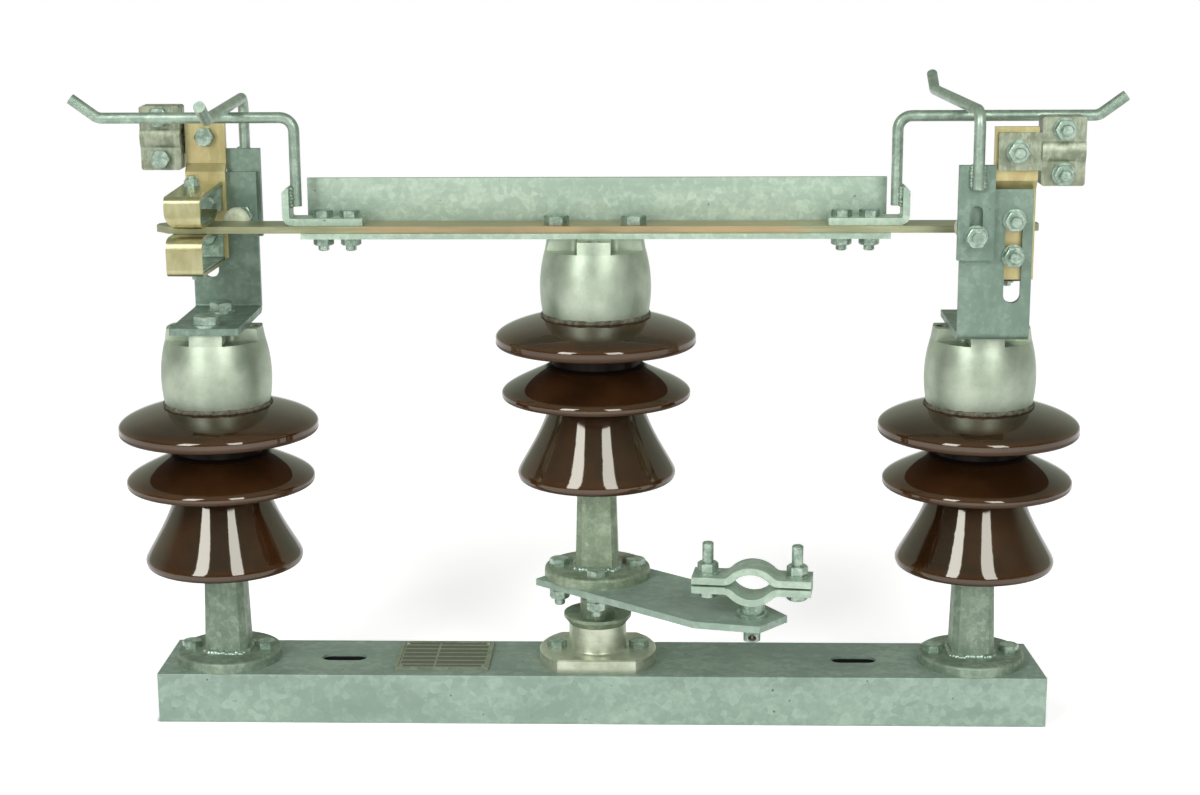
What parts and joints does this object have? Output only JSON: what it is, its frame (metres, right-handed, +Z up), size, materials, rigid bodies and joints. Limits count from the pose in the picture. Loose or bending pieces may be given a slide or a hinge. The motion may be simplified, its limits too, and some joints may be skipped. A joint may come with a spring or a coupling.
{
  "type": "centre-rotating double-break disconnect switch pole",
  "caption": "High-voltage disconnect switch pole: three brown post insulators on a channel, the middle one turning a long blade into a sprung jaw at each end.",
  "frame": {"origin": "on the floor under the turning axis of the middle insulator, between the two rows of channel flanges", "axes": "+X along the base channel towards the operating lever's pipe clamp, +Z up along the turning axis, +Y towards the far side"},
  "size_m": [0.7608, 0.2678, 0.4707],
  "materials": {
    "galvanised_steel": "dull mottled hot-dip zinc",
    "galvanised_iron": "dull hot-dip zinc over rough malleable iron",
    "brown_porcelain": "dark red-brown gloss glaze",
    "cast_aluminium": "satin cast aluminium",
    "bearing_metal": "turned and plated, satin",
    "copper": "hard-drawn copper, plated pale at both ends",
    "gilt_brass": "yellow passivated plating, glossy",
    "tinned_brass": "tinned casting, satin",
    "plated_fasteners": "zinc plated, some with a little rust",
    "nameplate_metal": "etched plate, left bare",
    "cream_nylon": "turned nylon, slightly dulled"
  },
  "bodies": {
    "base": {"left_pedestal": "galvanised_iron", "left_insulator": "brown_porcelain", "left_cap": "cast_aluminium", "right_pedestal": "galvanised_iron", "right_insulator": "brown_porcelain", "right_cap": "cast_aluminium", "left_bracket": "galvanised_steel", "left_contact_bar": "gilt_brass", "left_fixed_horn": "galvanised_steel", "left_terminal": "tinned_brass", "right_bracket": "galvanised_steel", "right_contact_bar": "gilt_brass", "right_fixed_horn": "galvanised_steel", "right_terminal": "tinned_brass", "base_channel": "galvanised_steel", "nameplate": "nameplate_metal", "pedestal_bolts": "plated_fasteners", "bearing_housing": "bearing_metal", "bearing_bolts": "plated_fasteners", "bracket_bolts": "plated_fasteners", "horn_plates": "galvanised_steel", "upper_fingers": "gilt_brass", "lower_fingers": "gilt_brass", "finger_springs": "plated_fasteners", "contact_bolts": "plated_fasteners", "stop_bolts": "plated_fasteners", "stop_buttons": "cream_nylon", "terminal_keepers": "tinned_brass", "terminal_bolts": "plated_fasteners"},
    "rotor": {"rotor_shaft": "galvanised_steel", "dust_cover": "galvanised_steel", "operating_lever": "galvanised_steel", "lever_bolts": "plated_fasteners", "centre_pedestal": "galvanised_iron", "centre_insulator": "brown_porcelain", "centre_cap": "cast_aluminium", "blade_beam": "galvanised_steel", "contact_blade": "copper", "horn_clips": "galvanised_steel", "moving_horns": "galvanised_steel", "beam_bolts": "plated_fasteners"},
    "pipe_clamp": {"clamp_upper_half": "galvanised_steel", "clamp_lower_half": "galvanised_steel", "clamp_bolts": "plated_fasteners", "clamp_pivot": "plated_fasteners"}
  },
  "joints": [
    {"name": "rotor_turn", "type": "hinge", "parent": "base", "child": "rotor", "pos_m": [0, 0, 0.038], "axis": [0, 0, 1], "range_deg": [0, 90]},
    {"name": "pipe_clamp_swivel", "type": "hinge", "parent": "rotor", "child": "pipe_clamp", "pos_m": [0.11261, -0.09449, 0.1045], "axis": [0, 0, 1], "continuous": true}
  ]
}
